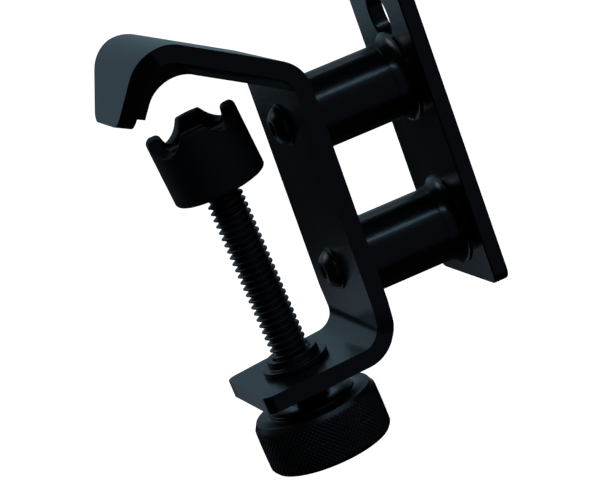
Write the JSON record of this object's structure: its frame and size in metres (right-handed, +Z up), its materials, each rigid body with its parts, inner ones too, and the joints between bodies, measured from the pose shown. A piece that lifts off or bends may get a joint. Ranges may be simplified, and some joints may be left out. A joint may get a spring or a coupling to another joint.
{
  "type": "desk clamp with mounting plate",
  "caption": "Black steel C-clamp with knurled screw, swivel pad and stand-off mounting plate for a desk cup holder.",
  "frame": {"origin": "centre of the round mounting hole, on the plate's outer face", "axes": "+X out of the plate, away from the clamp; +Z up along the clamp's spine; +Y across the bar"},
  "size_m": [0.0644, 0.0324, 0.094],
  "materials": {
    "coated_steel": "satin black powder coat",
    "black_oxide": "black oxide, slight oil gloss",
    "knob_black": "black, diamond knurl",
    "rubber": "matt moulded",
    "nylon": "plain moulded"
  },
  "bodies": {
    "frame": {"clamp_frame": "coated_steel", "jaw_liner": "rubber", "mounting_plate": "coated_steel", "upper_spacer": "coated_steel", "lower_spacer": "coated_steel", "upper_bolt": "black_oxide", "lower_bolt": "black_oxide", "upper_washer": "black_oxide", "lower_washer": "black_oxide", "upper_collar": "coated_steel", "lower_collar": "coated_steel", "threaded_bush": "black_oxide", "bush_ring": "black_oxide"},
    "neck": {"neck_clip": "black_oxide"},
    "screw": {"clamp_screw": "black_oxide", "knob": "knob_black", "knob_set_screw": "black_oxide"},
    "seat": {"ball_seat": "nylon"},
    "pad": {"socket_cup": "black_oxide", "socket_ring": "black_oxide", "swivel_pad": "rubber"}
  },
  "joints": [
    {"name": "screw_travel", "type": "slide", "parent": "frame", "child": "neck", "axis": [-0.0602, 0, 0.9982], "range_m": [-0.032, 0.0018]},
    {"name": "screw_turn", "type": "hinge", "parent": "neck", "child": "screw", "pos_m": [-0.04435, 0, -0.06], "axis": [-0.0602, 0, 0.9982], "range_deg": [-8165, 460]},
    {"name": "pad_tilt_x", "type": "hinge", "parent": "neck", "child": "seat", "pos_m": [-0.04708, 0, -0.01478], "axis": [0.9982, 0, 0.0602], "range_deg": [-10, 10]},
    {"name": "pad_tilt_y", "type": "hinge", "parent": "seat", "child": "pad", "pos_m": [-0.04708, 0, -0.01478], "axis": [0, 1, 0], "range_deg": [-6.8, 13.2]}
  ],
  "couplings": [
    {"joint": "screw_turn", "follows": "screw_travel", "rad_per_m": 4453}
  ]
}
